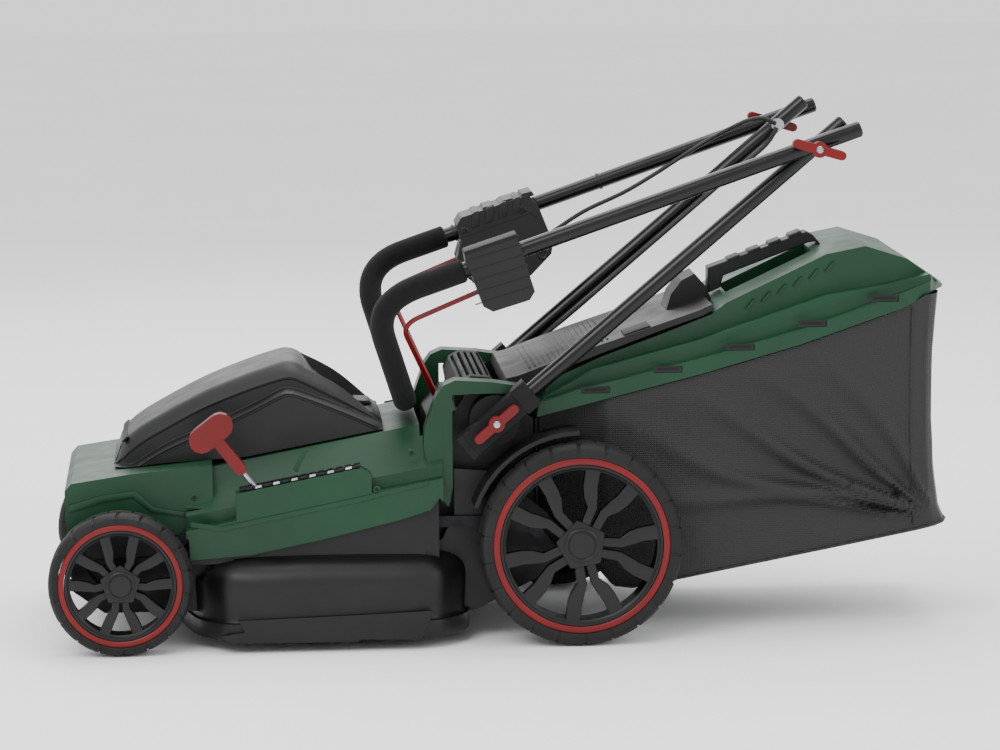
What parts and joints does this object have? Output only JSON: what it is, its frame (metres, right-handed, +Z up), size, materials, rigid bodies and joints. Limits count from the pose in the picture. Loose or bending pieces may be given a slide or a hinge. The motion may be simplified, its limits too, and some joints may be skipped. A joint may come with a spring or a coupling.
{
  "type": "lawn mower",
  "caption": "Walk-behind rotary lawn mower with spoked wheels, a rear grass bag, a height lever and a folded push handle with a foam grip and a bail.",
  "frame": {"origin": "ground under the middle of the whole mower's box", "axes": "+X to the rear (bag end), +Y to the mower's right-hand side, +Z up"},
  "size_m": [1.0762, 0.43, 0.6161],
  "materials": {
    "green_plastic": "satin moulded green plastic",
    "black_plastic": "textured black plastic",
    "grey_plastic": "fine-grained dark grey plastic",
    "rim_plastic": "dark grey rim plastic",
    "tyre_rubber": "matt black tyre",
    "red_plastic": "glossy red plastic",
    "red_paint": "red coated steel wire",
    "black_paint": "gloss black powder coat",
    "zinc_steel": "bright zinc-plated steel",
    "motor_can": "dull cast and wound motor body",
    "foam": "closed-cell foam sleeve",
    "bag_cloth": "woven black bag cloth",
    "cable_rubber": "black cable sheath"
  },
  "bodies": {
    "deck": {"deck_shell": "black_plastic", "top_cover": "green_plastic", "lever_gate": "black_plastic", "motor_hood": "grey_plastic", "motor": "motor_can", "bracket_bridge": "grey_plastic", "flap_pin": "zinc_steel", "axle_clamp_front": "black_plastic", "axle_clamp_rear": "black_plastic"},
    "rear_axle": {"rear_axle": "zinc_steel"},
    "front_axle": {"front_axle": "zinc_steel"},
    "link": {"height_link": "zinc_steel"},
    "height_lever": {"height_lever": "zinc_steel", "height_lever_grip": "red_plastic"},
    "blade": {"motor_shaft": "zinc_steel", "blade_holder": "black_plastic", "blade": "zinc_steel", "blade_bolt": "zinc_steel"},
    "flap": {"rear_flap": "grey_plastic"},
    "bag": {"bag_lid": "green_plastic", "bag_carry_handle": "black_plastic", "bag_fabric": "bag_cloth", "bag_mouth_frame": "black_plastic"},
    "lower_handle": {"lower_tube_left": "black_paint", "lower_tube_right": "black_paint", "handle_clamp_left": "grey_plastic", "handle_clamp_right": "grey_plastic", "clamp_bolt_left": "zinc_steel", "clamp_bolt_right": "zinc_steel", "fold_bolt_left": "zinc_steel", "fold_bolt_right": "zinc_steel", "cable_lower": "cable_rubber"},
    "upper_handle": {"upper_tube": "black_paint", "foam_grip": "foam", "switch_box": "grey_plastic", "bail_mount": "grey_plastic", "cable_upper": "cable_rubber"},
    "bail": {"bail": "red_paint"},
    "lock_off": {"lock_off_button": "red_plastic"},
    "wheel_rear_left": {"tyre_rear_left": "tyre_rubber", "trim_ring_rear_left": "red_plastic", "rim_rear_left": "rim_plastic", "hub_cap_rear_left": "rim_plastic"},
    "wheel_rear_right": {"tyre_rear_right": "tyre_rubber", "trim_ring_rear_right": "red_plastic", "rim_rear_right": "rim_plastic", "hub_cap_rear_right": "rim_plastic"},
    "wheel_front_left": {"tyre_front_left": "tyre_rubber", "trim_ring_front_left": "red_plastic", "rim_front_left": "rim_plastic", "hub_cap_front_left": "rim_plastic"},
    "wheel_front_right": {"tyre_front_right": "tyre_rubber", "trim_ring_front_right": "red_plastic", "rim_front_right": "rim_plastic", "hub_cap_front_right": "rim_plastic"},
    "wing_lever_clamp_left": {"wing_lever_clamp_left": "red_plastic"},
    "wing_lever_clamp_right": {"wing_lever_clamp_right": "red_plastic"},
    "wing_lever_fold_left": {"wing_lever_fold_left": "red_plastic"},
    "wing_lever_fold_right": {"wing_lever_fold_right": "red_plastic"}
  },
  "joints": [
    {"name": "lever_tilt", "type": "hinge", "parent": "deck", "child": "height_lever", "pos_m": [-0.23486, 0, 0.112], "axis": [0, 1, 0], "range_deg": [0, 72]},
    {"name": "rear_axle_turn", "type": "hinge", "parent": "deck", "child": "rear_axle", "pos_m": [0.05763, 0, 0.10002], "axis": [0, 1, 0], "range_deg": [0, 72]},
    {"name": "front_axle_turn", "type": "hinge", "parent": "deck", "child": "front_axle", "pos_m": [-0.48187, 0, 0.06442], "axis": [0, 1, 0], "range_deg": [0, 72]},
    {"name": "link_turn", "type": "hinge", "parent": "height_lever", "child": "link", "pos_m": [-0.25837, 0, 0.14436], "axis": [0, 1, 0], "range_deg": [-72, 0]},
    {"name": "blade_spin", "type": "hinge", "parent": "deck", "child": "blade", "pos_m": [-0.21486, 0, 0.034], "axis": [0, 0, 1], "continuous": true},
    {"name": "flap_lift", "type": "hinge", "parent": "deck", "child": "flap", "pos_m": [0.01914, 0, 0.295], "axis": [0, -1, 0], "range_deg": [0, 45]},
    {"name": "bag_pull", "type": "slide", "parent": "deck", "child": "bag", "axis": [1, 0, 0], "range_m": [0, 0.4]},
    {"name": "handle_tilt", "type": "hinge", "parent": "deck", "child": "lower_handle", "pos_m": [-0.01186, 0, 0.262], "axis": [0, 1, 0], "range_deg": [0, 12]},
    {"name": "handle_fold", "type": "hinge", "parent": "lower_handle", "child": "upper_handle", "pos_m": [0.36614, 0, 0.58], "axis": [0, 1, 0], "range_deg": [0, 155]},
    {"name": "bail_squeeze", "type": "hinge", "parent": "upper_handle", "child": "bail", "pos_m": [-0.00686, 0, 0.428], "axis": [0, 1, 0], "range_deg": [0, 6], "stiffness_Nm_per_rad": 1.2, "springref_deg": -17.19},
    {"name": "lock_off_press", "type": "slide", "parent": "upper_handle", "child": "lock_off", "axis": [0, 1, 0], "range_m": [0, 0.005], "stiffness_N_per_m": 200, "springref_m": -0.002},
    {"name": "wheel_rear_left_spin", "type": "hinge", "parent": "rear_axle", "child": "wheel_rear_left", "pos_m": [0.08514, 0, 0.12], "axis": [0, 1, 0], "continuous": true},
    {"name": "wheel_rear_right_spin", "type": "hinge", "parent": "rear_axle", "child": "wheel_rear_right", "pos_m": [0.08514, 0, 0.12], "axis": [0, 1, 0], "continuous": true},
    {"name": "wheel_front_left_spin", "type": "hinge", "parent": "front_axle", "child": "wheel_front_left", "pos_m": [-0.45436, 0, 0.0844], "axis": [0, 1, 0], "continuous": true},
    {"name": "wheel_front_right_spin", "type": "hinge", "parent": "front_axle", "child": "wheel_front_right", "pos_m": [-0.45436, 0, 0.0844], "axis": [0, 1, 0], "continuous": true},
    {"name": "wing_lever_clamp_left_turn", "type": "hinge", "parent": "lower_handle", "child": "wing_lever_clamp_left", "pos_m": [-0.01186, 0, 0.262], "axis": [0, 1, 0], "continuous": true},
    {"name": "wing_lever_clamp_right_turn", "type": "hinge", "parent": "lower_handle", "child": "wing_lever_clamp_right", "pos_m": [-0.01186, 0, 0.262], "axis": [0, 1, 0], "continuous": true},
    {"name": "wing_lever_fold_left_turn", "type": "hinge", "parent": "lower_handle", "child": "wing_lever_fold_left", "pos_m": [0.36614, 0, 0.58], "axis": [0, 1, 0], "continuous": true},
    {"name": "wing_lever_fold_right_turn", "type": "hinge", "parent": "lower_handle", "child": "wing_lever_fold_right", "pos_m": [0.36614, 0, 0.58], "axis": [0, 1, 0], "continuous": true}
  ],
  "couplings": [
    {"joint": "rear_axle_turn", "follows": "lever_tilt", "ratio": 1},
    {"joint": "front_axle_turn", "follows": "lever_tilt", "ratio": 1},
    {"joint": "link_turn", "follows": "lever_tilt", "ratio": -1}
  ]
}
